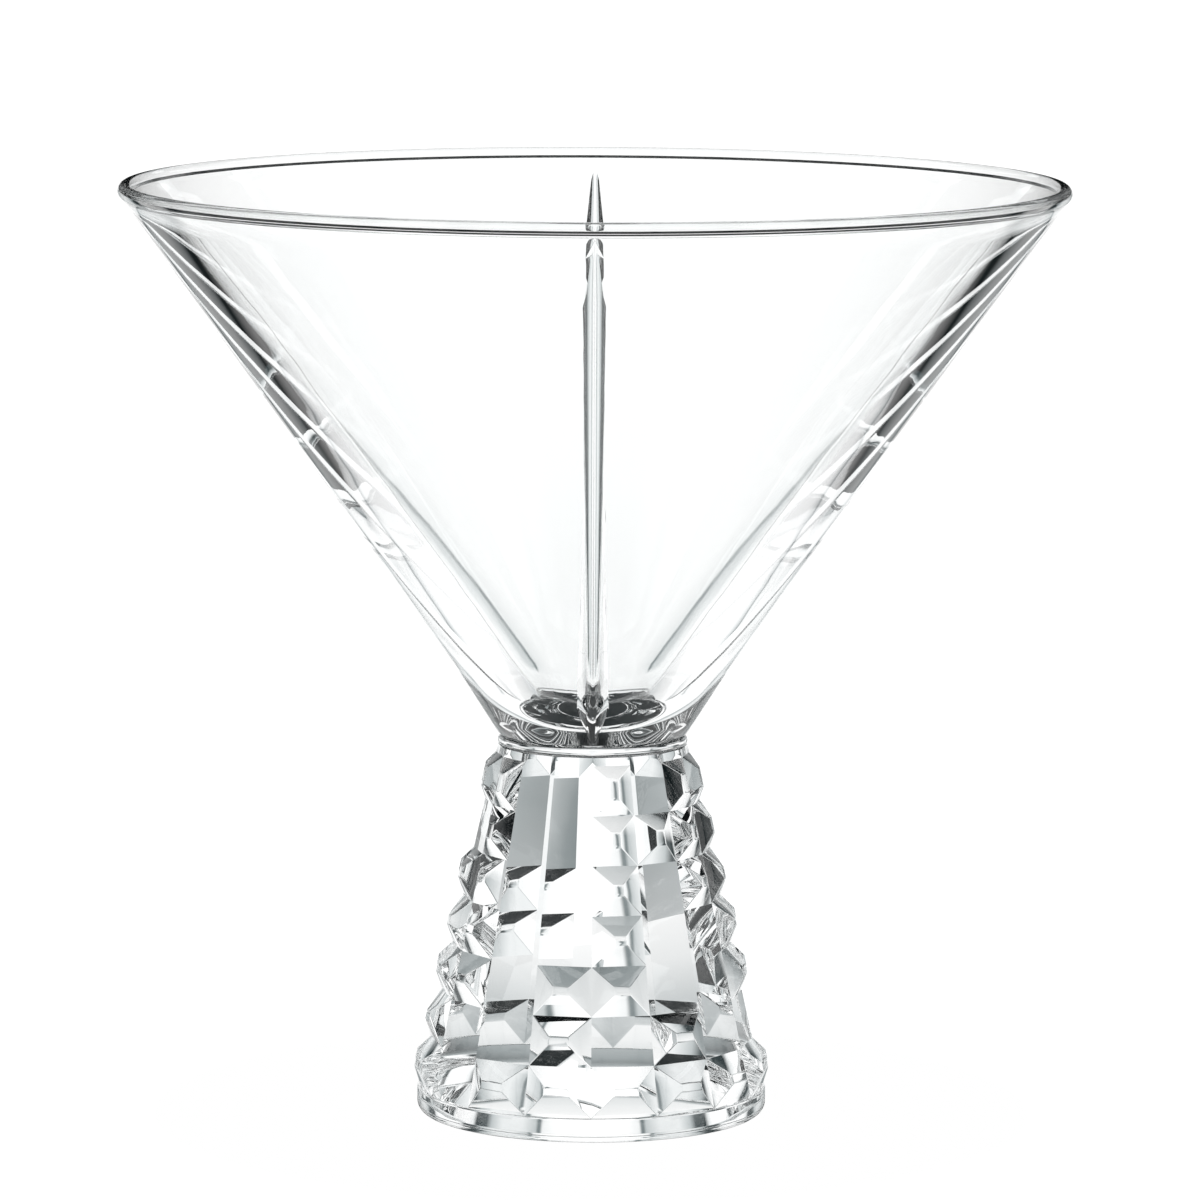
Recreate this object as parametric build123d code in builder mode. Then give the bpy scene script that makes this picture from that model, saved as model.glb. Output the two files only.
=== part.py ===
"""Heavy pressed-glass martini glass: a wedge-cut cone bowl on a studded, sixteen-sided foot.

Millimetres. The origin is the centre of the foot's underside, +Z is up along the axis and one
wedge cut faces -Y. Each sub-part is one region of the moulded glass, touching its neighbours face
to face, so that it can be reused by itself.
"""

from build123d import *
import os
from math import atan2, cos, degrees, hypot, pi, sin

# Overall sizes
HEIGHT = 117.0
RIM_RADIUS = 59.2
BASE_RADIUS = 21.9

# Bowl: outer wall, from the neck up to the rim bead
BOWL_BOTTOM_Z = 47.8
BOWL_BOTTOM_RADIUS = 12.0
KNEE_Z = 57.4
KNEE_RADIUS = 17.8
WALL_TOP_Z = 115.0
WALL_TOP_RADIUS = 58.5
BEAD_RADIUS = 0.95
BEAD_START = -50
BEAD_SWEEP = 255

# Bowl: cavity, a cone that would come to a point at this height, closed by a round end
CAVITY_POINT_Z = 44.5
CAVITY_END_RADIUS = 12.0

# Wedge cuts down the outside of the bowl
CUT_COUNT = 4
CUT_SLOPE = 1.05
CUT_CLEARANCE = 0.8
CUT_TIP_Z = 114.4
CUT_POINT_Z = 48.1
CUT_START = -0.1

# Neck ring
NECK_BOTTOM_Z = 46.6
NECK_RADIUS = 11.5
NECK_BULGE = 0.4

# Foot: sixteen facets, seven rows of cells
FACETS = 16
ROWS = 7
FOOT_TOP_RADIUS = 11.9
BAND_TOP_Z = 3.2
FOOT_BOTTOM_RADIUS = 21.6
CELLS_TOP_Z = 45.6
BAND_EDGE = 1.3

# Studs: hipped pyramids whose four sides have one slope, with a blunt tip
STUD_SLOPE = 0.7
STUD_TIP = 0.55
STUD_GAP = 0.1

# Which of the sixteen cells of each row carry a stud, counted anticlockwise from the front edge.
# The rows differ on purpose: the pattern is irregular all the way round.
STUDDED_CELLS = {
    1: (0, 2, 3, 5, 7, 8, 11, 12, 13),
    2: (0, 1, 2, 3, 5, 10, 13),
    3: (0, 2, 3, 5, 11, 12),
    4: (0, 3, 4, 8, 10, 12, 13),
    5: (0, 3, 4, 5, 8, 10, 11, 12, 13, 15),
    6: (1, 5, 6, 10, 12, 15),
    7: (0, 1, 2, 3, 4, 5, 6, 7, 8, 10, 11, 12, 14, 15),
}

FACET_TURN = 360 / FACETS
FRONT = -90


def foot_edge_radius(z):
    """Distance of a foot edge, where two facets meet, from the axis at height z."""
    share = (z - BAND_TOP_Z) / (NECK_BOTTOM_Z - BAND_TOP_Z)
    return FOOT_BOTTOM_RADIUS + share * (FOOT_TOP_RADIUS - FOOT_BOTTOM_RADIUS)


def row_height(row):
    """Heights of the top and bottom edges of a row, counted from 1 at the top."""
    pitch = (CELLS_TOP_Z - BAND_TOP_Z) / ROWS
    return CELLS_TOP_Z - (row - 1) * pitch, CELLS_TOP_Z - row * pitch


def cell_plane(row, cell):
    """Plane on one facet at the middle of a cell: x runs round the foot and y runs up the facet."""
    top, bottom = row_height(row)
    middle = (top + bottom) / 2
    half_turn = pi / FACETS
    turn = (FRONT + (cell + 0.5) * FACET_TURN) * pi / 180
    flat_radius = foot_edge_radius(middle) * cos(half_turn)
    lean = (foot_edge_radius(bottom) - foot_edge_radius(top)) * cos(half_turn) / (top - bottom)
    origin = (flat_radius * cos(turn), flat_radius * sin(turn), middle)
    return Plane(origin=origin, x_dir=(-sin(turn), cos(turn), 0), z_dir=(cos(turn), sin(turn), lean))


def cell_size(row):
    """Half the length of a row's cells up the facet, and half their width at the middle and top."""
    top, bottom = row_height(row)
    half_turn = pi / FACETS
    run = (foot_edge_radius(bottom) - foot_edge_radius(top)) * cos(half_turn)
    half_length = hypot(top - bottom, run) / 2
    half_middle = foot_edge_radius((top + bottom) / 2) * sin(half_turn)
    return half_length, half_middle, foot_edge_radius(top) * sin(half_turn)


def cell_outline(row, inset):
    """Corners of a cell's outline on its facet, moved inwards by one distance on all four sides."""
    half_length, half_middle, half_top = cell_size(row)
    lean = (half_middle - half_top) / half_length
    side = half_middle - inset * hypot(1, lean)
    reach = half_length - inset
    return [
        (-side - lean * reach, -reach),
        (side + lean * reach, -reach),
        (side - lean * reach, reach),
        (-side + lean * reach, reach),
    ]


# ---------------------------------------------------------------- bowl
# The profile is turned off the axes, so that the seam of the revolved faces misses the cuts.
with BuildPart() as bowl:
    with BuildSketch(Plane.XZ.rotated((0, 0, FACET_TURN))) as bowl_profile:
        with BuildLine():
            outside = Polyline(
                (0, BOWL_BOTTOM_Z),
                (BOWL_BOTTOM_RADIUS - 0.5, BOWL_BOTTOM_Z),
                (BOWL_BOTTOM_RADIUS, BOWL_BOTTOM_Z + 0.5),
                (KNEE_RADIUS, KNEE_Z),
                (WALL_TOP_RADIUS, WALL_TOP_Z),
            )
            bead = CenterArc(
                (RIM_RADIUS - BEAD_RADIUS, HEIGHT - BEAD_RADIUS), BEAD_RADIUS, BEAD_START, BEAD_SWEEP
            )
            Line(outside @ 1, bead @ 0)
            lean = atan2((bead @ 1).X, (bead @ 1).Y - CAVITY_POINT_Z)
            end = CenterArc(
                (0, CAVITY_POINT_Z + CAVITY_END_RADIUS / sin(lean)),
                CAVITY_END_RADIUS,
                -90,
                90 - degrees(lean),
            )
            Line(bead @ 1, end @ 1)
            Line(end @ 0, outside @ 0)
        make_face()
    revolve(axis=Axis.Z)


def wall_radius(z):
    """Outer radius of the bowl's wall at height z."""
    low, high = (KNEE_Z, KNEE_RADIUS), (WALL_TOP_Z, WALL_TOP_RADIUS)
    if z < KNEE_Z:
        low, high = (BOWL_BOTTOM_Z + 0.5, BOWL_BOTTOM_RADIUS), low
    return low[1] + (z - low[0]) / (high[0] - low[0]) * (high[1] - low[1])


# Depth of a wedge cut at heights down the wall. It starts and ends just outside the wall, so that
# both of its ends come to a point.
CUT_DEPTHS = [
    (CUT_TIP_Z, CUT_START),
    (107.0, 0.9),
    (66.0, 1.3),
    (KNEE_Z, 1.7),
    (53.0, 1.8),
    (CUT_POINT_Z, CUT_START),
]

with BuildPart() as cut:
    for z, depth in CUT_DEPTHS:
        reach = CUT_SLOPE * (depth + CUT_CLEARANCE)
        with BuildSketch(Plane.XY.offset(z)):
            with BuildLine():
                Polyline(
                    (wall_radius(z) - depth, 0),
                    (wall_radius(z) + CUT_CLEARANCE, reach),
                    (wall_radius(z) + CUT_CLEARANCE, -reach),
                    close=True,
                )
            make_face()
    loft(ruled=True)

with BuildPart() as bowl_cut:
    add(bowl.part)
    with PolarLocations(0, CUT_COUNT, start_angle=FRONT):
        add(cut.part, mode=Mode.SUBTRACT)

bowl_cut.part.label = "bowl"

# ---------------------------------------------------------------- neck ring
with BuildPart() as neck_ring:
    with BuildSketch(Plane.XZ):
        with BuildLine():
            ring = Polyline((0, BOWL_BOTTOM_Z), (0, NECK_BOTTOM_Z), (NECK_RADIUS, NECK_BOTTOM_Z))
            bulge = ThreePointArc(
                ring @ 1,
                (NECK_RADIUS + NECK_BULGE, (NECK_BOTTOM_Z + BOWL_BOTTOM_Z) / 2),
                (NECK_RADIUS, BOWL_BOTTOM_Z),
            )
            Line(bulge @ 1, ring @ 0)
        make_face()
    revolve(axis=Axis.Z)

neck_ring.part.label = "neck_ring"

# ---------------------------------------------------------------- foot core
with BuildPart() as foot_core:
    for z in (BAND_TOP_Z, NECK_BOTTOM_Z):
        with BuildSketch(Plane.XY.offset(z)):
            RegularPolygon(foot_edge_radius(z), FACETS, rotation=FRONT)
    loft()

foot_core.part.label = "foot_core"

# ---------------------------------------------------------------- base band
with BuildPart() as base_band:
    with BuildSketch():
        Circle(BASE_RADIUS)
    extrude(amount=BAND_TOP_Z)
    fillet(base_band.edges().sort_by(Axis.Z)[0], BAND_EDGE)
    fillet(base_band.edges().sort_by(Axis.Z)[-1], 0.25)

base_band.part.label = "base_band"


# ---------------------------------------------------------------- stud rows
def build_stud_row(row, cells):
    """One row of studs, each a blunt pyramid standing on its own facet."""
    half_length, _, half_top = cell_size(row)
    run = min(half_length, half_top) - STUD_GAP - STUD_TIP
    with BuildPart() as studs:
        for cell in cells:
            facet = cell_plane(row, cell)
            with BuildSketch(facet):
                Polygon(*cell_outline(row, STUD_GAP), align=None)
            with BuildSketch(facet.offset(STUD_SLOPE * run)):
                Polygon(*cell_outline(row, STUD_GAP + run), align=None)
            loft()
    studs.part.label = f"stud_row_{row}"
    return studs.part


stud_rows = [build_stud_row(row, cells) for row, cells in STUDDED_CELLS.items()]

# ---------------------------------------------------------------- one STEP file per sub-part
os.makedirs("parts", exist_ok=True)
for piece in [bowl_cut.part, neck_ring.part, foot_core.part, base_band.part, *stud_rows]:
    export_step(piece, f"parts/{piece.label}.step")
    print(piece.label, len(piece.solids()), round(piece.volume), piece.bounding_box().size)
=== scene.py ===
import logging
import math
from dataclasses import dataclass
from enum import Enum
from typing import Callable

import bpy
from mathutils import Matrix, Vector


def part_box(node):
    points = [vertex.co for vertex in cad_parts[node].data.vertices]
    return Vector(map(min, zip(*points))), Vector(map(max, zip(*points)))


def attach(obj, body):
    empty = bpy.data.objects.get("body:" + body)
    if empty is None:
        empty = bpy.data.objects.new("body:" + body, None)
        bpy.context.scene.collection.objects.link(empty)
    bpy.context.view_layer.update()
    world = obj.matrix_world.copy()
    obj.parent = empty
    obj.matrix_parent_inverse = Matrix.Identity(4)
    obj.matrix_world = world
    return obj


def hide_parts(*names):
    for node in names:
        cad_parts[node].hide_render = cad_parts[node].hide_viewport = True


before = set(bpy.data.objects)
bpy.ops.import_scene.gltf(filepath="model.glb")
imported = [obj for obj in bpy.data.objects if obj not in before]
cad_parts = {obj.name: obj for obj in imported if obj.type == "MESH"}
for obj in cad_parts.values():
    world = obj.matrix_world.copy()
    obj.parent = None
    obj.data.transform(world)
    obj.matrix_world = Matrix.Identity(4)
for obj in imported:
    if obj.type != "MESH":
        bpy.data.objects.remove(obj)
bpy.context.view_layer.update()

MM = 0.001
LOG = logging.getLogger("martini_glass")
BODY = "root"
NEAR = MM / 100
NECK_RADIUS = 11.5 * MM
Point = tuple[float, float]
Tones = tuple[Point, ...]


class Face(Enum):
    """Material slots of every glass piece: its own surface, and where it is fused to its neighbour."""

    GLASS = 0
    FUSED = 1


# ------------------------------------------------------------------ small tools for mesh work


def deselect_objects() -> None:
    """Leave every object unselected, with none active."""
    for obj in bpy.context.selected_objects:
        obj.select_set(False)
    bpy.context.view_layer.objects.active = None


def start_edit(obj: bpy.types.Object) -> None:
    """Make one object active and enter its edit mode with nothing selected.

    Args:
        obj: the mesh object to edit.
    """
    deselect_objects()
    obj.select_set(True)
    bpy.context.view_layer.objects.active = obj
    bpy.ops.object.mode_set(mode="EDIT")
    bpy.ops.mesh.select_mode(type="VERT")
    bpy.ops.mesh.select_all(action="DESELECT")


def end_edit() -> None:
    """Leave edit mode."""
    bpy.ops.object.mode_set(mode="OBJECT")


def pick(kind: str, test: Callable[..., bool]) -> int:
    """Select the elements of the edited mesh that pass a test, and nothing else.

    Args:
        kind: "VERT", "EDGE" or "FACE".
        test: says whether to select an element. It takes a vertex's place, or an edge's middle and
            direction, or a face's middle and normal.

    Returns:
        How many elements were selected.
    """
    bpy.ops.mesh.select_mode(type=kind)
    bpy.ops.mesh.select_all(action="DESELECT")
    bpy.ops.object.mode_set(mode="OBJECT")
    mesh = bpy.context.object.data
    if kind == "VERT":
        chosen = [v for v in mesh.vertices if test(v.co)]
    elif kind == "EDGE":
        ends = [[mesh.vertices[i].co for i in e.vertices] for e in mesh.edges]
        chosen = [e for e, (a, b) in zip(mesh.edges, ends) if test((a + b) / 2, a - b)]
    else:
        chosen = [p for p in mesh.polygons if test(p.center, p.normal)]
    for item in chosen:
        item.select = True
    bpy.ops.object.mode_set(mode="EDIT")
    return len(chosen)


def new_object(name: str) -> bpy.types.Object:
    """Name the object that a primitive operator has just added, and its mesh.

    Args:
        name: the piece's name.

    Returns:
        The object.
    """
    obj = bpy.context.object
    obj.name = name
    obj.data.name = name
    return obj


def settle(obj: bpy.types.Object) -> None:
    """Put an object's place into its mesh, so that the object sits at the origin.

    Args:
        obj: the mesh object.
    """
    deselect_objects()
    obj.select_set(True)
    bpy.context.view_layer.objects.active = obj
    bpy.ops.object.transform_apply(location=True, rotation=True, scale=True)


def arc(centre: Point, radius: float, start: float, end: float, steps: int) -> list[Point]:
    """Points along a round stretch of a profile.

    Args:
        centre: its centre, as (distance from the axis, height).
        radius: its radius.
        start: the first point's angle in degrees, 0 pointing away from the axis and 90 up.
        end: the last point's angle in degrees.
        steps: how many runs it is divided into.

    Returns:
        The points, as (distance from the axis, height).
    """
    turns = [math.radians(start + (end - start) * i / steps) for i in range(steps + 1)]
    return [(centre[0] + radius * math.cos(t), centre[1] + radius * math.sin(t)) for t in turns]


def run(start: Point, end: Point, steps: int) -> list[Point]:
    """Points along a straight stretch of a profile, without its first and last.

    Args:
        start: where it starts, as (distance from the axis, height).
        end: where it ends.
        steps: how many runs it is divided into.

    Returns:
        The points between the two ends.
    """
    shares = [i / steps for i in range(1, steps)]
    return [(start[0] + (end[0] - start[0]) * s, start[1] + (end[1] - start[1]) * s) for s in shares]


def turned(name: str, outline: list[Point], segments: int) -> bpy.types.Object:
    """Turn an outline round the Z axis: one vertex is extruded along it, then spun.

    Args:
        name: the piece's name.
        outline: points from one end of the outline to the other, as (distance from the axis, height).
        segments: how many faces go once round.

    Returns:
        The turned object. It is closed where the outline starts and ends on the axis.
    """
    bpy.ops.mesh.primitive_plane_add(size=MM, location=(0, 0, 0))
    obj = new_object(name)
    start_edit(obj)
    pick("VERT", lambda co: not (co.x > 0 and co.y > 0))
    bpy.ops.mesh.delete(type="VERT")
    bpy.ops.mesh.select_all(action="SELECT")
    first = Vector((outline[0][0], 0, outline[0][1]))
    bpy.ops.transform.translate(value=first - Vector((MM / 2, MM / 2, 0)))
    for (r0, z0), (r1, z1) in zip(outline, outline[1:]):
        bpy.ops.mesh.extrude_region_move(TRANSFORM_OT_translate={"value": (r1 - r0, 0, z1 - z0)})
    bpy.ops.mesh.select_all(action="SELECT")
    bpy.ops.mesh.spin(steps=segments, angle=math.tau, center=(0, 0, 0), axis=(0, 0, 1))
    bpy.ops.mesh.select_all(action="SELECT")
    bpy.ops.mesh.remove_doubles(threshold=MM / 1000)
    bpy.ops.mesh.normals_make_consistent(inside=False)
    end_edit()
    return obj


def smooth(obj: bpy.types.Object, angle: float) -> None:
    """Shade an object smooth, with edges sharper than an angle left crisp.

    Args:
        obj: the mesh object.
        angle: the angle in degrees.
    """
    deselect_objects()
    obj.select_set(True)
    bpy.context.view_layer.objects.active = obj
    bpy.ops.object.shade_smooth_by_angle(angle=math.radians(angle))


# ------------------------------------------------------------------ finishes


@dataclass(frozen=True)
class PressedGlass:
    """Clear lead-free crystal: faintly cool, with the slow ripple that pressing leaves."""

    name: str
    ripple_size: float
    ripple_depth: float
    roughness: tuple[float, float]
    tints: tuple[tuple, tuple] = ((0.982, 0.992, 0.991), (0.988, 0.994, 0.993))
    cloud_size: float = 25 * MM
    ior: float = 1.52

    def build(self) -> bpy.types.Material:
        """Make the material.

        Returns:
            A Principled glass whose ripple, roughness and tint are set by noise.
        """
        mat = bpy.data.materials.new(self.name)
        mat.use_nodes = True
        nodes, links = mat.node_tree.nodes, mat.node_tree.links
        shader = nodes["Principled BSDF"]
        shader.inputs["Transmission Weight"].default_value = 1.0
        shader.inputs["IOR"].default_value = self.ior
        place = nodes.new("ShaderNodeTexCoord")

        def noise(size: float) -> bpy.types.NodeSocket:
            """Soft noise with features of about one size; returns its value."""
            node = nodes.new("ShaderNodeTexNoise")
            node.inputs["Scale"].default_value = 1 / size
            node.inputs["Detail"].default_value = 1.0
            links.new(place.outputs["Object"], node.inputs["Vector"])
            return node.outputs["Fac"]

        cloud = noise(self.cloud_size)
        tint = nodes.new("ShaderNodeMix")
        tint.data_type = "RGBA"
        links.new(cloud, tint.inputs["Factor"])
        tint.inputs[6].default_value = (*self.tints[0], 1)
        tint.inputs[7].default_value = (*self.tints[1], 1)
        links.new(tint.outputs[2], shader.inputs["Base Color"])
        rough = nodes.new("ShaderNodeMapRange")
        rough.inputs["To Min"].default_value = self.roughness[0]
        rough.inputs["To Max"].default_value = self.roughness[1]
        links.new(cloud, rough.inputs["Value"])
        links.new(rough.outputs["Result"], shader.inputs["Roughness"])
        bump = nodes.new("ShaderNodeBump")
        bump.inputs["Strength"].default_value = 1.0
        bump.inputs["Distance"].default_value = self.ripple_depth
        links.new(noise(self.ripple_size), bump.inputs["Height"])
        links.new(bump.outputs["Normal"], shader.inputs["Normal"])
        return mat


class Finish(Enum):
    """The two surfaces that the glass has."""

    FIRE_POLISHED = PressedGlass("fire_polished_glass", 9 * MM, 0.02 * MM, (0.0, 0.006))
    AS_PRESSED = PressedGlass("as_pressed_glass", 7 * MM, 0.008 * MM, (0.0, 0.012))


@dataclass(frozen=True)
class FusedSeam:
    """The inside of the glass where two regions are fused: nothing to see, so light passes straight."""

    name: str = "fused_seam"

    def build(self) -> bpy.types.Material:
        """Make the material.

        Returns:
            A fully clear material.
        """
        mat = bpy.data.materials.new(self.name)
        mat.use_nodes = True
        nodes, links = mat.node_tree.nodes, mat.node_tree.links
        nodes.remove(nodes["Principled BSDF"])
        clear = nodes.new("ShaderNodeBsdfTransparent")
        links.new(clear.outputs["BSDF"], nodes["Material Output"].inputs["Surface"])
        return mat


def dress(
    obj: bpy.types.Object,
    glass: bpy.types.Material,
    fused: bpy.types.Material,
    seam: Callable[[Vector, Vector], bool],
) -> None:
    """Give a piece its glass, and its seam material where it is fused to a neighbour.

    Args:
        obj: the piece.
        glass: material of its own surface.
        fused: material of its fused faces.
        seam: takes a face's middle and normal, and says whether the face is fused.
    """
    obj.data.materials.clear()
    obj.data.materials.append(glass)
    obj.data.materials.append(fused)
    for face in obj.data.polygons:
        is_seam = seam(face.center, face.normal)
        face.material_index = Face.FUSED.value if is_seam else Face.GLASS.value


# ------------------------------------------------------------------ sub-assemblies


@dataclass
class Bowl:
    """The cone bowl: rim bead, wall, thick floor and four wedge cuts."""

    segments: int = 320
    rim_radius: float = 59.2 * MM
    bottom_radius: float = NECK_RADIUS
    bottom_edge: float = 0.5 * MM
    knee_radius: float = 17.8 * MM
    knee_height: float = 57.4 * MM
    wall_top_radius: float = 58.5 * MM
    wall_top_drop: float = 2.0 * MM
    bead: float = 0.95 * MM
    bead_start: float = -50
    bead_end: float = 205
    cavity_point: float = 44.5 * MM
    cavity_end: float = 12.0 * MM
    cuts: int = 4
    cut_slope: float = 1.05
    cut_softness: float = 0.3
    cut_clearance: float = 0.8 * MM
    cut_points: int = 13

    def __post_init__(self) -> None:
        """Read the bowl's place from the frame."""
        low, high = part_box("bowl")
        self.bottom = low[2]
        self.top = high[2]

    def outline(self) -> list[Point]:
        """The bowl's profile, from the middle of its underside round the rim to the middle of its floor.

        Returns:
            Points as (distance from the axis, height).
        """
        edge = (self.bottom_radius + self.bottom_edge, self.bottom + self.bottom_edge)
        knee = (self.knee_radius, self.knee_height)
        wall_top = (self.wall_top_radius, self.top - self.wall_top_drop)
        points = [(0, self.bottom)]
        points += run((0, self.bottom), (self.bottom_radius, self.bottom), 3)
        points += [(self.bottom_radius, self.bottom), edge]
        points += run(edge, knee, 6)
        points += [knee]
        points += run(knee, wall_top, 24)
        points += [wall_top]
        bead_middle = (self.rim_radius - self.bead, self.top - self.bead)
        points += arc(bead_middle, self.bead, self.bead_start, self.bead_end, 22)
        lip = points[-1]
        lean = math.atan2(lip[0], lip[1] - self.cavity_point)
        middle = self.cavity_point + self.cavity_end / math.sin(lean)
        end = arc((0, middle), self.cavity_end, -math.degrees(lean), -90, 18)
        points += run(lip, end[0], 28)
        points += end[:-1]
        points += [(0, middle - self.cavity_end)]
        return points

    def wall(self, z: float) -> float:
        """Outer radius of the wall at height z."""
        if z < self.knee_height:
            low = (self.bottom + self.bottom_edge, self.bottom_radius + self.bottom_edge)
            high = (self.knee_height, self.knee_radius)
        else:
            low = (self.knee_height, self.knee_radius)
            high = (self.top - self.wall_top_drop, self.wall_top_radius)
        return low[1] + (z - low[0]) / (high[0] - low[0]) * (high[1] - low[1])

    def cutter(self) -> bpy.types.Object:
        """A long wheel-cut wedge with a soft tip, as deep at each height as the cut is there.

        Returns:
            The wedge at the first cut's place.
        """
        depths = [
            (self.top - 2.6 * MM, -0.1 * MM),
            (self.top - 4.6 * MM, 0.35 * MM),
            (self.top - 10 * MM, 0.9 * MM),
            (66 * MM, 1.3 * MM),
            (self.knee_height, 1.7 * MM),
            (53 * MM, 1.8 * MM),
            (self.bottom + 0.3 * MM, -0.1 * MM),
        ]
        across = self.cut_points - 1
        bpy.ops.mesh.primitive_circle_add(
            vertices=self.cut_points, radius=MM, fill_type="NGON", location=(0, 0, 0)
        )
        obj = new_object("wedge_cutter")
        start_edit(obj)
        bpy.ops.mesh.select_all(action="SELECT")
        for _ in depths[1:]:
            bpy.ops.mesh.extrude_region_move(TRANSFORM_OT_translate={"value": (0, 0, -MM)})
        end_edit()
        levels = sorted({round(v.co.z, 6) for v in obj.data.vertices}, reverse=True)
        for level, (z, depth) in zip(levels, depths):
            ring = [v for v in obj.data.vertices if abs(v.co.z - level) < MM / 10]
            ring.sort(key=lambda v: math.atan2(v.co.y, v.co.x))
            full = depth + self.cut_clearance
            for i, v in enumerate(ring):
                share = 2 * i / across - 1
                soft = math.hypot(share, self.cut_softness) - self.cut_softness
                soft /= math.hypot(1, self.cut_softness) - self.cut_softness
                outer = self.wall(z) - depth + full * soft
                v.co = (share * self.cut_slope * full, -outer, z)
        start_edit(obj)
        bpy.ops.mesh.select_all(action="SELECT")
        bpy.ops.mesh.normals_make_consistent(inside=False)
        end_edit()
        return obj

    def build(self, glass: bpy.types.Material, fused: bpy.types.Material) -> list[bpy.types.Object]:
        """Turn the bowl, take the wedge cuts out of it and dress it.

        Args:
            glass: its glass.
            fused: material of the face fused to the neck.

        Returns:
            The finished pieces.
        """
        obj = turned("bowl_glass", self.outline(), self.segments)
        first = self.cutter()
        cutters = [first]
        for i in range(1, self.cuts):
            copy = first.copy()
            copy.data = first.data.copy()
            bpy.context.collection.objects.link(copy)
            copy.data.transform(Matrix.Rotation(math.tau * i / self.cuts, 4, "Z"))
            cutters.append(copy)
        for wedge in cutters:
            deselect_objects()
            obj.select_set(True)
            bpy.context.view_layer.objects.active = obj
            cut = obj.modifiers.new("cut", "BOOLEAN")
            cut.operation = "DIFFERENCE"
            cut.solver = "EXACT"
            cut.object = wedge
            bpy.ops.object.modifier_apply(modifier=cut.name)
            bpy.data.objects.remove(wedge)
        settle(obj)
        smooth(obj, 30)
        dress(obj, glass, fused, lambda co, no: abs(co.z - self.bottom) < NEAR)
        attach(obj, BODY)
        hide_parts("bowl")
        return [obj]


@dataclass
class NeckRing:
    """The raised ring where the bowl is fused to the foot."""

    segments: int = 320
    radius: float = NECK_RADIUS
    bulge: float = 0.4 * MM

    def build(self, glass: bpy.types.Material, fused: bpy.types.Material) -> list[bpy.types.Object]:
        """Turn the ring and dress it.

        Args:
            glass: its glass.
            fused: material of the faces fused to the bowl and the foot.

        Returns:
            The finished pieces.
        """
        low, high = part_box("neck_ring")
        bottom, top = low[2], high[2]
        half = (top - bottom) / 2
        bulge_radius = (half**2 + self.bulge**2) / (2 * self.bulge)
        reach = math.degrees(math.asin(half / bulge_radius))
        side = arc((self.radius + self.bulge - bulge_radius, bottom + half), bulge_radius, -reach, reach, 8)
        outline = [(0, bottom), *run((0, bottom), (self.radius, bottom), 3), *side]
        outline += [*run((self.radius, top), (0, top), 3), (0, top)]
        obj = turned("neck_ring_glass", outline, self.segments)
        settle(obj)
        smooth(obj, 30)
        dress(obj, glass, fused, lambda co, no: min(abs(co.z - bottom), abs(co.z - top)) < NEAR)
        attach(obj, BODY)
        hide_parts("neck_ring")
        return [obj]


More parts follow.
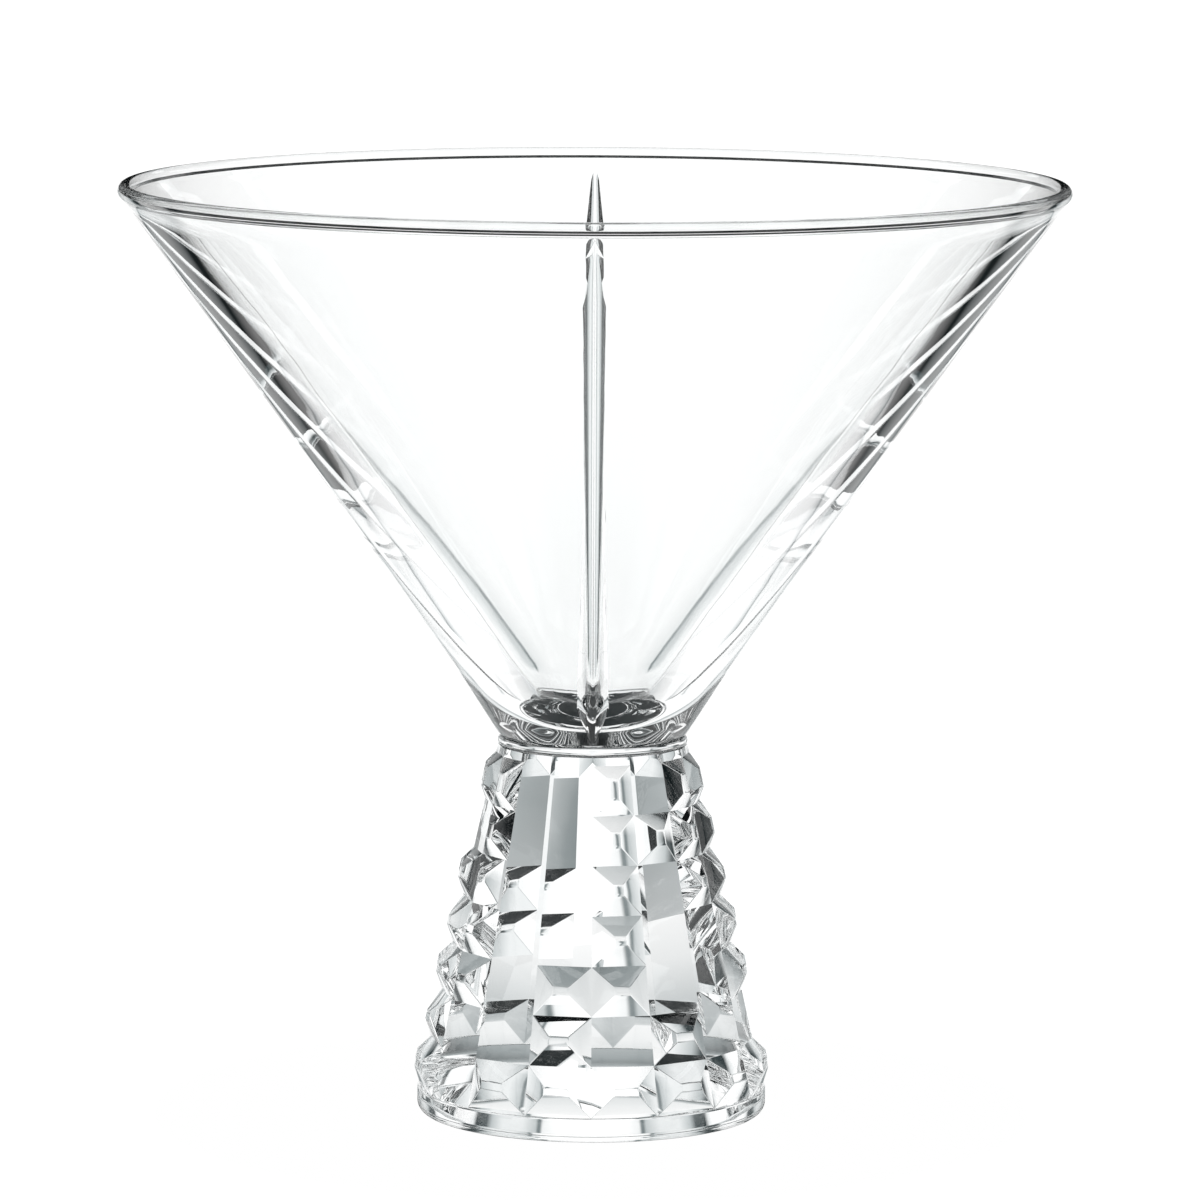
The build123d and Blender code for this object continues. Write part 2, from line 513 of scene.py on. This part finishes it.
@dataclass
class Foot:
    """The solid sixteen-sided foot, its base band and its seven rows of studs."""

    segments: int = 320
    facets: int = 16
    rows: int = 7
    top_radius: float = 11.9 * MM
    cells_top: float = 45.6 * MM
    tip: float = 0.55 * MM
    tip_steps: tuple[Point, ...] = ((0.4, 0.25), (0.3, 0.1))
    stud_slope: float = 0.7
    proud_by: float = 0.2 * MM
    hip_width: float = 0.16 * MM
    band_edge: float = 1.3 * MM
    band_lip: float = 0.25 * MM

    def __post_init__(self) -> None:
        """Read the foot's place from the frame."""
        low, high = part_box("foot_core")
        self.bottom, self.top = low[2], high[2]
        self.bottom_radius = high[0]
        self.base_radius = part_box("base_band")[1][0]
        self.pitch = (self.cells_top - self.bottom) / self.rows
        self.studded = {row: self.read_row(row) for row in range(1, self.rows + 1)}

    def read_row(self, row: int) -> set[int]:
        """Which cells of a row the frame has studs on, counted anticlockwise from the front edge."""
        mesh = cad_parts[f"stud_row_{row}"].data
        middle = self.cells_top - (row - 0.5) * self.pitch
        found = set()
        for v in mesh.vertices:
            if abs(v.co.z - middle) < self.pitch and self.proud(v.co):
                found.add(self.cell_at(v.co))
        return found

    def proud(self, co: Vector) -> bool:
        """True if a point stands clear of the foot's facets, as a stud's tip does."""
        return math.hypot(co.x, co.y) > self.edge_radius(co.z) + self.proud_by

    def cell_at(self, co: Vector) -> int:
        """Which cell a point is over, counted anticlockwise from the front edge."""
        turn = math.degrees(math.atan2(co.y, co.x)) + 90
        return int(turn % 360 / (360 / self.facets))

    def edge_radius(self, z: float) -> float:
        """Distance of an edge between two facets from the axis at height z."""
        share = (z - self.bottom) / (self.top - self.bottom)
        return self.bottom_radius + share * (self.top_radius - self.bottom_radius)

    def cell_of(self, co: Vector) -> tuple[int, int]:
        """Row and cell that a point on the foot's side belongs to; row 0 is the plain neck."""
        return math.floor((self.cells_top - co.z) / self.pitch) + 1, self.cell_at(co)

    def height_over(self, co: Vector) -> float:
        """How far a point stands out from the facet of the foot that it is over."""
        facing = math.radians(-90 + (self.cell_at(co) + 0.5) * 360 / self.facets)
        half_turn = math.cos(math.pi / self.facets)
        lean = math.atan2((self.bottom_radius - self.top_radius) * half_turn, self.top - self.bottom)
        outwards = co.x * math.cos(facing) + co.y * math.sin(facing)
        return (outwards - self.edge_radius(co.z) * half_turn) * math.cos(lean)

    def is_hip(self, mid: Vector, way: Vector) -> bool:
        """True for the sloping edges of a stud, from a corner of its base up to its tip."""
        ends = [self.height_over(mid + way / 2), self.height_over(mid - way / 2)]
        return min(ends) < NEAR and max(ends) > MM / 2

    def cone(self, name: str) -> bpy.types.Object:
        """The sixteen-sided cone, cut across at every row.

        Args:
            name: the piece's name.

        Returns:
            The cone, closed at both ends.
        """
        bpy.ops.mesh.primitive_cone_add(
            vertices=self.facets,
            radius1=self.bottom_radius,
            radius2=self.top_radius,
            depth=self.top - self.bottom,
            end_fill_type="NGON",
            location=(0, 0, (self.top + self.bottom) / 2),
        )
        obj = new_object(name)
        settle(obj)
        start_edit(obj)
        for row in range(self.rows):
            bpy.ops.mesh.select_all(action="SELECT")
            height = self.cells_top - row * self.pitch
            bpy.ops.mesh.bisect(plane_co=(0, 0, height), plane_no=(0, 0, 1))
        end_edit()
        return obj

    def build_core(self, glass: bpy.types.Material, fused: bpy.types.Material) -> bpy.types.Object:
        """The core, with a round seam on top for the neck ring.

        Args:
            glass: its glass.
            fused: material of the faces fused to its neighbours.

        Returns:
            The finished core.
        """
        obj = self.cone("foot_core_glass")
        start_edit(obj)
        pick("FACE", lambda co, no: co.z > self.top - NEAR)
        bpy.ops.mesh.delete(type="FACE")
        bpy.ops.mesh.primitive_circle_add(
            vertices=self.segments, radius=NECK_RADIUS, fill_type="NGON", location=(0, 0, self.top)
        )
        pick("EDGE", lambda mid, way: mid.z > self.top - NEAR)
        bpy.ops.mesh.bridge_edge_loops()
        bpy.ops.mesh.select_all(action="SELECT")
        bpy.ops.mesh.normals_make_consistent(inside=False)
        end_edit()

        def seam(co: Vector, no: Vector) -> bool:
            """True where a stud, the neck ring or the base band is fused on."""
            if co.z > self.top - NEAR:
                return math.hypot(co.x, co.y) < NECK_RADIUS / 2
            if co.z < self.bottom + NEAR:
                return True
            row, cell = self.cell_of(co)
            return cell in self.studded.get(row, ())

        dress(obj, glass, fused, seam)
        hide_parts("foot_core")
        return obj

    def build_band(self, glass: bpy.types.Material, fused: bpy.types.Material) -> bpy.types.Object:
        """The base band, with a sixteen-sided seam on top for the core.

        Args:
            glass: its glass.
            fused: material of the face fused to the core.

        Returns:
            The finished band.
        """
        lip, edge, base = self.band_lip, self.band_edge, self.base_radius
        outline = [
            *arc((base - lip, self.bottom - lip), lip, 90, 0, 4),
            *arc((base - edge, edge), edge, 0, -90, 10),
            *run((base - edge, 0), (0, 0), 4),
            (0, 0),
        ]
        obj = turned("base_band_glass", outline, self.segments)
        start_edit(obj)
        bpy.ops.mesh.primitive_circle_add(
            vertices=self.facets, radius=self.bottom_radius, fill_type="NGON", location=(0, 0, self.bottom)
        )
        pick("EDGE", lambda mid, way: mid.z > self.bottom - NEAR)
        bpy.ops.mesh.bridge_edge_loops()
        bpy.ops.mesh.select_all(action="SELECT")
        bpy.ops.mesh.normals_make_consistent(inside=False)
        end_edit()
        settle(obj)
        smooth(obj, 30)
        top = self.bottom - NEAR
        dress(obj, glass, fused, lambda co, no: co.z > top and math.hypot(co.x, co.y) < NECK_RADIUS)
        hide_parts("base_band")
        return obj

    def build_row(self, row: int, glass: bpy.types.Material, fused: bpy.types.Material) -> bpy.types.Object:
        """One row of studs, raised from the cells they stand on.

        Args:
            row: the row, counted from 1 at the top.
            glass: its glass.
            fused: material of the studs' undersides.

        Returns:
            The finished row, each stud closed.
        """
        obj = self.cone(f"stud_row_{row}_glass")
        start_edit(obj)

        def bare(co: Vector, no: Vector) -> bool:
            """True for an end of the cone, another row's cell or a cell with no stud."""
            inside = self.bottom < co.z < self.top
            return not (inside and self.cell_of(co)[0] == row and self.cell_at(co) in self.studded[row])

        pick("FACE", bare)
        bpy.ops.mesh.delete(type="FACE")
        bpy.ops.mesh.select_all(action="SELECT")
        bpy.ops.mesh.edge_split(type="EDGE")
        bpy.ops.mesh.select_mode(type="FACE")
        bpy.ops.mesh.select_all(action="SELECT")
        bpy.ops.mesh.extrude_region_move(TRANSFORM_OT_translate={"value": (0, 0, 0)})
        high = self.edge_radius(self.cells_top - (row - 1) * self.pitch)
        across = 2 * high * math.sin(math.pi / self.facets)
        reach = min(across, self.pitch) / 2 - self.tip
        steps = [(reach, 1.0)] + [(share * self.tip, flatness) for share, flatness in self.tip_steps]
        for step, flatness in steps:
            bpy.ops.mesh.inset(
                thickness=step, depth=self.stud_slope * step * flatness, use_individual=True
            )
        bpy.ops.mesh.select_all(action="SELECT")
        bpy.ops.mesh.dissolve_degenerate(threshold=MM / 10000)
        pick("EDGE", self.is_hip)
        bpy.ops.mesh.bevel(offset=self.hip_width, offset_type="WIDTH", segments=2, profile=0.5)
        end_edit()
        smooth(obj, 28)
        dress(obj, glass, fused, lambda co, no: Vector((co.x, co.y, 0)).dot(no) < 0)
        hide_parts(f"stud_row_{row}")
        return obj

    def build(self, glass: bpy.types.Material, fused: bpy.types.Material) -> list[bpy.types.Object]:
        """Build the core, the band and the rows.

        Args:
            glass: their glass.
            fused: material of their fused faces.

        Returns:
            The finished pieces.
        """
        made = [self.build_core(glass, fused), self.build_band(glass, fused)]
        made += [self.build_row(row, glass, fused) for row in self.studded]
        for obj in made:
            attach(obj, BODY)
        return made


# ------------------------------------------------------------------ studio


def fill_ramp(node: bpy.types.Node, tones: Tones) -> None:
    """Give a colour ramp its stops; the darker the tone, the cooler its colour.

    Args:
        node: the colour ramp.
        tones: its stops, as (place, tone), from 0 to 1 each.
    """
    stops = node.color_ramp.elements
    for i, (place, tone) in enumerate(tones):
        item = stops[i] if i < len(stops) else stops.new(place)
        item.position = place
        item.color = (tone**1.12, tone**1.02, tone, 1)


def white_to_camera(tree: bpy.types.NodeTree, colour: bpy.types.NodeSocket) -> bpy.types.NodeSocket:
    """Show plain white to the camera and another colour to every other ray.

    Args:
        tree: the node tree to work in.
        colour: what the other rays see.

    Returns:
        The mixed colour.
    """
    path = tree.nodes.new("ShaderNodeLightPath")
    seen = tree.nodes.new("ShaderNodeMix")
    seen.data_type = "RGBA"
    tree.links.new(path.outputs["Is Camera Ray"], seen.inputs["Factor"])
    tree.links.new(colour, seen.inputs[6])
    seen.inputs[7].default_value = (1, 1, 1, 1)
    return seen.outputs[2]


@dataclass
class Studio:
    """A table whose glow is painted shade round the glass's foot and plain white to the camera, soft boxes
    all round it, black flags above the rim, and the camera.

    The tones are (place, tone) stops. The table's tones are painted shade: on the table, place 0 is its
    middle and 1 its edge. Round the ring, 0 is a soft box's middle and 1 is halfway to the next. In height,
    0 is straight down and 1 straight up. Where ring_reach is 0, the ring is plain white.
    """

    table_radius: float = 55 * MM
    boxes: int = 4
    table_drop: float = 0.05 * MM
    # painted shade: the table's glow for every ray but the camera's, near black under and round the glass's
    # foot, brightening to white at its edge
    painted_foot_shade_tones: Tones = ((0.0, 0.01), (0.42, 0.01), (0.5, 0.35), (0.64, 0.65), (0.82, 0.9), (1.0, 1.0))
    ring_tones: Tones = (
        (0.0, 1.0),
        (0.2, 1.0),
        (0.26, 0.92),
        (0.295, 0.85),
        (0.31, 0.22),
        (0.32, 0.22),
        (0.335, 0.55),
        (0.42, 0.8),
        (0.55, 0.8),
        (0.64, 0.5),
        (0.69, 0.06),
        (0.79, 0.04),
        (0.83, 0.8),
        (0.88, 1.0),
        (1.0, 1.0),
    )
    height_tones: Tones = ((0.0, 0.9), (0.45, 1.0), (0.75, 1.0), (0.8, 0.1), (0.85, 0.02), (1.0, 0.02))
    brightness: float = 1.15
    ring_reach: Tones = ((0.0, 0.0), (0.335, 0.0), (0.355, 1.0), (1.0, 1.0))
    flag_radius: float = 160 * MM
    flags: tuple[Point, ...] = ((118 * MM, 166 * MM), (178 * MM, 235 * MM))
    flag_colour: tuple[float, float, float] = (0.01, 0.012, 0.013)
    camera_place: tuple[float, float, float] = (0, -0.9259, 0.1912)
    camera_dip: float = 7.778
    camera_roll: float = -0.25
    camera_lens: float = 224.4
    camera_shift: float = 0.0019

    def world(self) -> None:
        """Light the scene from a ring of white soft boxes with darker gaps between them."""
        world = bpy.data.worlds.new("soft_boxes")
        bpy.context.scene.world = world
        world.use_nodes = True
        nodes, links = world.node_tree.nodes, world.node_tree.links
        back = nodes["Background"]

        def maths(
            kind: str, a: bpy.types.NodeSocket | float, b: bpy.types.NodeSocket | float | None = None
        ) -> bpy.types.NodeSocket:
            """One Math node with sockets or numbers as its inputs; returns its output."""
            node = nodes.new("ShaderNodeMath")
            node.operation = kind
            for socket, value in zip(node.inputs, (a, b)):
                if isinstance(value, bpy.types.NodeSocket):
                    links.new(value, socket)
                elif value is not None:
                    socket.default_value = value
            return node.outputs[0]

        def ramp(fac: bpy.types.NodeSocket, tones: Tones) -> bpy.types.NodeSocket:
            """A ramp through (place, tone) stops; returns its colour."""
            node = nodes.new("ShaderNodeValToRGB")
            fill_ramp(node, tones)
            links.new(fac, node.inputs[0])
            return node.outputs[0]

        place = nodes.new("ShaderNodeTexCoord")
        parts = nodes.new("ShaderNodeSeparateXYZ")
        links.new(place.outputs["Generated"], parts.inputs[0])
        turn = maths("ARCTAN2", parts.outputs["X"], parts.outputs["Y"])
        places = maths("MULTIPLY", turn, self.boxes / math.tau)
        share = maths("FRACT", maths("ADD", places, 0.5 + self.boxes))
        away = maths("MULTIPLY", maths("ABSOLUTE", maths("SUBTRACT", share, 0.5)), 2.0)
        ring = ramp(away, self.ring_tones)
        lift = maths("ARCSINE", parts.outputs["Z"])
        height = maths("ADD", maths("MULTIPLY", lift, 1 / math.pi), 0.5)
        tall = ramp(height, self.height_tones)
        mixed = nodes.new("ShaderNodeMix")
        mixed.data_type = "RGBA"
        mixed.blend_type = "MULTIPLY"
        mixed.inputs["Factor"].default_value = 1.0
        reach = nodes.new("ShaderNodeMix")
        reach.data_type = "RGBA"
        links.new(ramp(height, self.ring_reach), reach.inputs["Factor"])
        reach.inputs[6].default_value = (1, 1, 1, 1)
        links.new(ring, reach.inputs[7])
        links.new(reach.outputs[2], mixed.inputs[6])
        links.new(tall, mixed.inputs[7])
        links.new(white_to_camera(world.node_tree, mixed.outputs[2]), back.inputs["Color"])
        back.inputs["Strength"].default_value = self.brightness

    def table(self) -> None:
        """A round glowing table just under the glass: plain white to the camera, and painted shade, near
        black under and round the foot, to every other ray.
        """
        bpy.ops.mesh.primitive_circle_add(
            vertices=96, radius=self.table_radius, fill_type="NGON", location=(0, 0, -self.table_drop)
        )
        obj = new_object("table_with_painted_shade")
        mat = bpy.data.materials.new("table_glow_painted_shade")
        mat.use_nodes = True
        nodes, links = mat.node_tree.nodes, mat.node_tree.links
        nodes.remove(nodes["Principled BSDF"])
        # the table glows; its glow is painted shade, darkest under the glass's foot, and plain white to the
        # camera
        glow = nodes.new("ShaderNodeEmission")
        place = nodes.new("ShaderNodeTexCoord")
        reach = nodes.new("ShaderNodeVectorMath")
        reach.operation = "LENGTH"
        links.new(place.outputs["Object"], reach.inputs[0])
        fade = nodes.new("ShaderNodeMapRange")
        fade.inputs["From Max"].default_value = self.table_radius
        links.new(reach.outputs["Value"], fade.inputs["Value"])
        shade = nodes.new("ShaderNodeValToRGB")
        fill_ramp(shade, self.painted_foot_shade_tones)
        links.new(fade.outputs[0], shade.inputs[0])
        links.new(white_to_camera(mat.node_tree, shade.outputs[0]), glow.inputs["Color"])
        links.new(glow.outputs[0], nodes["Material Output"].inputs["Surface"])
        obj.data.materials.append(mat)

    def black_flags(self) -> None:
        """Two rings of black cloth above the rim's height, which draw its bead with dark lines."""
        mat = bpy.data.materials.new("black_cloth")
        mat.use_nodes = True
        nodes, links = mat.node_tree.nodes, mat.node_tree.links
        nodes.remove(nodes["Principled BSDF"])
        cloth = nodes.new("ShaderNodeBsdfDiffuse")
        cloth.inputs["Color"].default_value = (*self.flag_colour, 1)
        clear = nodes.new("ShaderNodeBsdfTransparent")
        path = nodes.new("ShaderNodeLightPath")
        seen = nodes.new("ShaderNodeMixShader")
        links.new(path.outputs["Is Camera Ray"], seen.inputs[0])
        links.new(cloth.outputs[0], seen.inputs[1])
        links.new(clear.outputs[0], seen.inputs[2])
        links.new(seen.outputs[0], nodes["Material Output"].inputs["Surface"])
        for i, (low, high) in enumerate(self.flags):
            bpy.ops.mesh.primitive_cylinder_add(
                vertices=96,
                radius=self.flag_radius,
                depth=high - low,
                end_fill_type="NOTHING",
                location=(0, 0, (low + high) / 2),
            )
            obj = new_object(f"black_flag_{i + 1}")
            obj.data.materials.append(mat)

    def camera(self) -> None:
        """The camera, a long lens a little above the rim, looking slightly down."""
        data = bpy.data.cameras.new("camera")
        cam = bpy.data.objects.new("camera", data)
        bpy.context.collection.objects.link(cam)
        cam.location = self.camera_place
        cam.rotation_euler = (math.radians(90 - self.camera_dip), math.radians(self.camera_roll), 0)
        data.lens = self.camera_lens
        data.sensor_width = 36
        data.shift_x = self.camera_shift
        data.clip_start, data.clip_end = 0.05, 20
        bpy.context.scene.camera = cam

    def light_rules(self) -> None:
        """Let light cross many glass faces, and keep whites white."""
        scene = bpy.context.scene
        scene.view_settings.view_transform = "Standard"
        scene.cycles.max_bounces = 32
        scene.cycles.transmission_bounces = 32
        scene.cycles.glossy_bounces = 16
        scene.cycles.transparent_max_bounces = 64

    def build(self) -> None:
        """Set the studio up."""
        self.world()
        self.table()
        self.black_flags()
        self.camera()
        self.light_rules()


def main() -> None:
    """Build the glass and its studio, and report each piece."""
    logging.basicConfig(level=logging.INFO, format="%(name)s: %(message)s")
    polished = Finish.FIRE_POLISHED.value.build()
    pressed = Finish.AS_PRESSED.value.build()
    fused = FusedSeam().build()
    for part, glass in ((Bowl(), polished), (NeckRing(), polished), (Foot(), pressed)):
        for piece in part.build(glass, fused):
            LOG.info("%s: %d faces", piece.name, len(piece.data.polygons))
    Studio().build()


if __name__ == "__main__":
    main()
